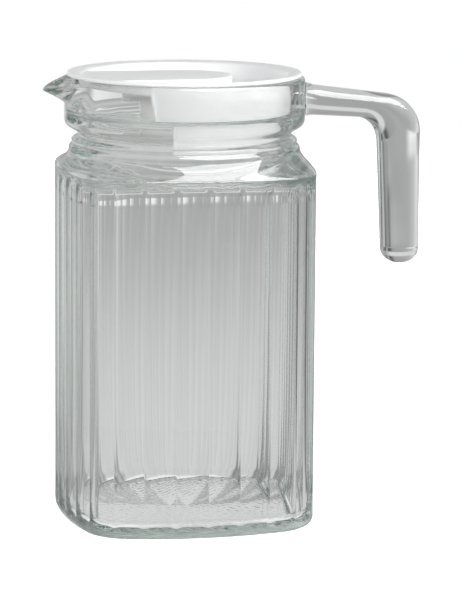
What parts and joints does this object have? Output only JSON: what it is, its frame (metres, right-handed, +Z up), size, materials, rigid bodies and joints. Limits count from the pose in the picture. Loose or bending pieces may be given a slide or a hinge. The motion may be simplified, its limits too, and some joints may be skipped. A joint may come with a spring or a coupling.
{
  "type": "glass pitcher with lid",
  "caption": "Fluted square glass refrigerator jug with bowed faces, a spouted neck ring, an open-ended glass handle and a white plug lid with a pour window.",
  "frame": {"origin": "centre of the base on the body's axis, in the plane that the jug stands on", "axes": "+Z up along the body's axis, +X towards the handle, -X towards the spout"},
  "size_m": [0.1541, 0.1018, 0.1797],
  "materials": {
    "glass": "polished",
    "lid_plastic": "satin"
  },
  "bodies": {
    "jug": {"glass_body": "glass", "glass_handle": "glass"},
    "lid": {"lid": "lid_plastic"}
  },
  "joints": [
    {"name": "lid_lift", "type": "slide", "parent": "jug", "child": "lid", "axis": [0, 0, 1], "range_m": [0, 0.06]}
  ]
}
